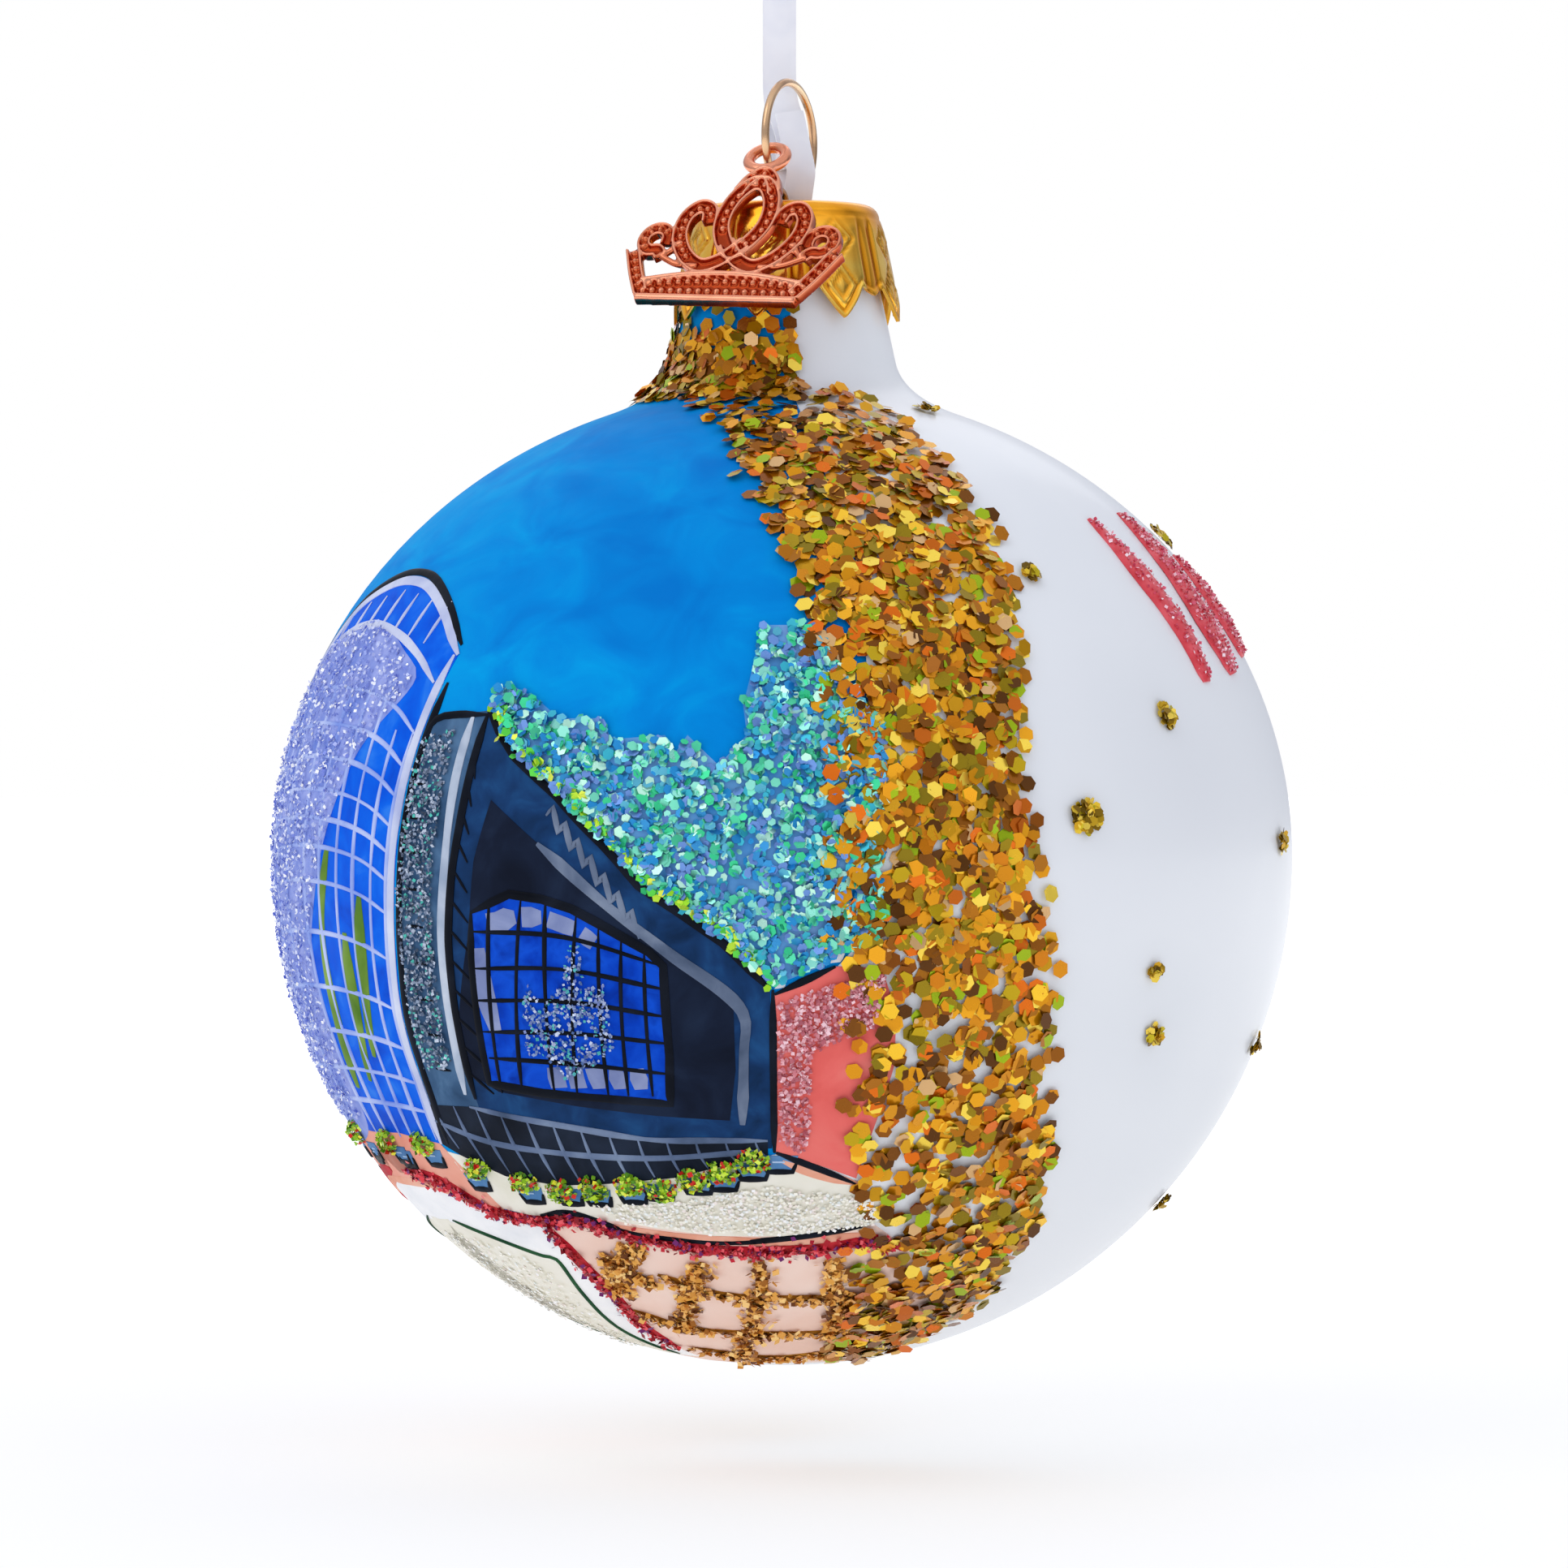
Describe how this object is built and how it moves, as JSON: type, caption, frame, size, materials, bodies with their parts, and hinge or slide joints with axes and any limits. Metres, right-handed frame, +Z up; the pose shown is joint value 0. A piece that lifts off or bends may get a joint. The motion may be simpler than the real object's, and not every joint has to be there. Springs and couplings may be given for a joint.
{
  "type": "christmas ornament",
  "caption": "Hand-painted hollow glass ball with a sequin seam, stamped metal cap, wire hanger, small crown charm and satin ribbon loop.",
  "frame": {"origin": "underside of the ribbon loop's top, where a hook or branch bears", "axes": "+Z up, away from the ball; -Y is the side the painted half faces"},
  "size_m": [0.1026, 0.1008, 0.1566],
  "materials": {
    "pearl_glass": "pearl lacquer over blown glass, satin gloss",
    "stamped_gold": "stamped gold-coloured sheet metal, bright with dark recesses",
    "hanger_gold": "thin bright drawn wire",
    "rose_copper": "rose-copper plated casting with darker recesses",
    "satin_ribbon": "white satin, soft sheen",
    "gold_sequins": "metallised hexagonal foil flakes",
    "aqua_glitter": "iridescent aqua glitter",
    "silver_glitter": "fine silver glitter in clear glue",
    "pink_glitter": "pink glitter in clear glue",
    "cream_glitter": "fine clear glitter on cream",
    "red_glitter": "deep red glitter",
    "gold_chips": "amber and gold glitter chips",
    "green_glitter": "yellow-green glitter tufts",
    "gold_glitter": "gold glitter in a glue dot",
    "red_relief": "raised red paint with pink glitter"
  },
  "bodies": {
    "ribbon": {"ribbon": "satin_ribbon"},
    "knot": {"ribbon_knot": "satin_ribbon"},
    "hanger": {"hanger_wire": "hanger_gold", "cap": "stamped_gold"},
    "charm": {"crown_charm": "rose_copper"},
    "ball": {"glass_ball": "pearl_glass", "sequin_band_right": "gold_sequins", "sequin_band_left": "gold_sequins", "sequin_collar": "gold_sequins", "aqua_glitter": "aqua_glitter", "tower_glitter": "silver_glitter", "strip_glitter": "silver_glitter", "window_glitter": "silver_glitter", "coral_glitter": "pink_glitter", "ground_glitter": "cream_glitter", "terrace_glitter": "cream_glitter", "red_glitter_line": "red_glitter", "gold_chip_lattice": "gold_chips", "shrub_01": "green_glitter", "shrub_02": "green_glitter", "shrub_03": "green_glitter", "shrub_04": "green_glitter", "shrub_05": "green_glitter", "shrub_06": "green_glitter", "shrub_07": "green_glitter", "shrub_08": "green_glitter", "shrub_09": "green_glitter", "shrub_10": "green_glitter", "shrub_11": "green_glitter", "shrub_12": "green_glitter", "gold_dot_01": "gold_glitter", "gold_dot_02": "gold_glitter", "gold_dot_03": "gold_glitter", "gold_dot_04": "gold_glitter", "gold_dot_05": "gold_glitter", "gold_dot_06": "gold_glitter", "gold_dot_07": "gold_glitter", "gold_dot_08": "gold_glitter", "gold_dot_09": "gold_glitter", "gold_dot_10": "gold_glitter", "gold_dot_11": "gold_glitter", "gold_dot_12": "gold_glitter", "gold_dot_13": "gold_glitter", "gold_dot_14": "gold_glitter", "gold_dot_15": "gold_glitter", "gold_dot_16": "gold_glitter", "relief_stroke_1": "red_relief", "relief_stroke_2": "red_relief", "relief_stroke_3": "red_relief"}
  },
  "joints": [
    {"name": "ribbon_bend", "type": "hinge", "parent": "ribbon", "child": "knot", "pos_m": [0.00017, 0.00052, -0.0379], "axis": [0.6494, 0.7604, 0], "range_deg": [-10, 10]},
    {"name": "ornament_spin", "type": "hinge", "parent": "knot", "child": "hanger", "pos_m": [0.00017, 0.00052, -0.0395], "axis": [0, 0, 1], "range_deg": [-35, 2]},
    {"name": "charm_swing", "type": "hinge", "parent": "hanger", "child": "charm", "pos_m": [0.00491, -0.0033, -0.0378], "axis": [-0.6293, -0.7771, 0], "range_deg": [0, 50]},
    {"name": "cap_pull", "type": "slide", "parent": "hanger", "child": "ball", "axis": [0, 0, -1], "range_m": [0, 0.018]}
  ]
}
